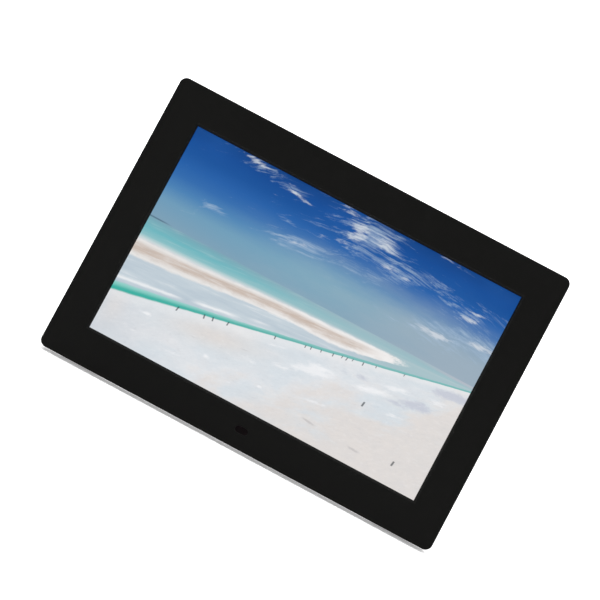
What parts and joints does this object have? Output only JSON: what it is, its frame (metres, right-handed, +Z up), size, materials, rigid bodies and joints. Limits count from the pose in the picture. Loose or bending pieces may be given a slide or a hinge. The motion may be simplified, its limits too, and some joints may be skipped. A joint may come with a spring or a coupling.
{
  "type": "digital photo frame",
  "caption": "Digital photo frame: flat black bezel round a recessed wide display, with a humped rear cover, buttons and sockets, standing on a fold-out leg.",
  "frame": {"origin": "on the floor, at the centre of the footprint of the bounding box", "axes": "+X to the right as seen from the front, +Y to the back (the screen faces -Y and leans back 15 degrees), +Z up"},
  "size_m": [0.261, 0.0872, 0.1772],
  "materials": {
    "bezel_plastic": "fine moulded texture, black",
    "cover_plastic": "fine spark-eroded texture, black",
    "button_plastic": "satin, black, raised marks",
    "infrared_plastic": "polished, dark",
    "display_glass": "anti-glare film over a lit picture",
    "clear_acrylic": "polished, printed with dots",
    "white_film": "matt white film",
    "white_plastic": "moulded, off-white",
    "tray_steel": "pressed zinc-plated sheet",
    "led_package": "white body, yellow phosphor",
    "flex_film": "amber film over copper tracks",
    "board_laminate": "green solder mask",
    "chip_plastic": "moulded epoxy, black",
    "can_aluminium": "drawn can",
    "ferrite": "sintered, grey",
    "socket_steel": "stamped, tin-plated",
    "socket_plastic": "moulded, black",
    "screw_steel": "zinc plated",
    "black_screw": "black zinc",
    "pin_steel": "polished steel",
    "nylon": "natural nylon",
    "foot_rubber": "matt black rubber",
    "seal_foam": "black foam",
    "cone_paper": "coated paper, black",
    "cable_grey": "grey flat cable",
    "wire_black": "black wire insulation",
    "wire_red": "red wire insulation"
  },
  "bodies": {
    "housing": {"front_bezel": "bezel_plastic", "ir_window": "infrared_plastic", "screen_gasket": "seal_foam", "lcd_glass": "display_glass", "diffuser_films": "white_film", "light_guide": "clear_acrylic", "reflector_sheet": "white_film", "lcd_mid_frame": "white_plastic", "lcd_back_plate": "tray_steel", "led_strip": "board_laminate", "backlight_leds": "led_package", "display_flex": "flex_film", "panel_clamps": "tray_steel", "rear_cover": "cover_plastic", "housing_screws": "black_screw", "inner_screws": "screw_steel", "rubber_feet": "foot_rubber", "main_board": "board_laminate", "processor": "chip_plastic", "memory_chips": "chip_plastic", "board_capacitors": "can_aluminium", "power_inductor": "ferrite", "crystal": "can_aluminium", "board_connectors": "white_plastic", "card_socket": "socket_steel", "usb_socket": "socket_steel", "mini_usb_socket": "socket_steel", "headphone_socket": "socket_plastic", "power_socket": "socket_plastic", "key_board": "board_laminate", "key_cable": "cable_grey", "switch_bases": "socket_plastic", "ir_board": "board_laminate", "ir_receiver": "infrared_plastic", "ir_cable": "wire_black", "speaker_frames": "tray_steel", "speaker_cones": "cone_paper", "speaker_magnets": "ferrite", "speaker_seals": "seal_foam", "speaker_leads": "wire_red", "stand_bracket": "tray_steel", "bracket_screws": "screw_steel", "stand_pin": "pin_steel", "friction_washers": "nylon"},
    "stand": {"stand_leg": "cover_plastic", "stand_foot_pad": "foot_rubber"},
    "menu_button": {"button_menu": "button_plastic", "stem_menu": "white_plastic"},
    "left_button": {"button_left": "button_plastic", "stem_left": "white_plastic"},
    "up_button": {"button_up": "button_plastic", "stem_up": "white_plastic"},
    "down_button": {"button_down": "button_plastic", "stem_down": "white_plastic"},
    "right_button": {"button_right": "button_plastic", "stem_right": "white_plastic"},
    "exit_button": {"button_exit": "button_plastic", "stem_exit": "white_plastic"},
    "power_button": {"button_power": "button_plastic", "stem_power": "white_plastic"}
  },
  "joints": [
    {"name": "stand_fold", "type": "hinge", "parent": "housing", "child": "stand", "pos_m": [0, 0.00684, 0.11098], "axis": [1, 0, 0], "range_deg": [-32, 0]},
    {"name": "menu_press", "type": "slide", "parent": "housing", "child": "menu_button", "axis": [0, -0.9659, 0.2588], "range_m": [0, 0.0005], "stiffness_N_per_m": 2000},
    {"name": "left_press", "type": "slide", "parent": "housing", "child": "left_button", "axis": [0, -0.9659, 0.2588], "range_m": [0, 0.0005], "stiffness_N_per_m": 2000},
    {"name": "up_press", "type": "slide", "parent": "housing", "child": "up_button", "axis": [0, -0.9659, 0.2588], "range_m": [0, 0.0005], "stiffness_N_per_m": 2000},
    {"name": "down_press", "type": "slide", "parent": "housing", "child": "down_button", "axis": [0, -0.9659, 0.2588], "range_m": [0, 0.0005], "stiffness_N_per_m": 2000},
    {"name": "right_press", "type": "slide", "parent": "housing", "child": "right_button", "axis": [0, -0.9659, 0.2588], "range_m": [0, 0.0005], "stiffness_N_per_m": 2000},
    {"name": "exit_press", "type": "slide", "parent": "housing", "child": "exit_button", "axis": [0, -0.9659, 0.2588], "range_m": [0, 0.0005], "stiffness_N_per_m": 2000},
    {"name": "power_press", "type": "slide", "parent": "housing", "child": "power_button", "axis": [0, -0.9659, 0.2588], "range_m": [0, 0.0005], "stiffness_N_per_m": 2000}
  ]
}
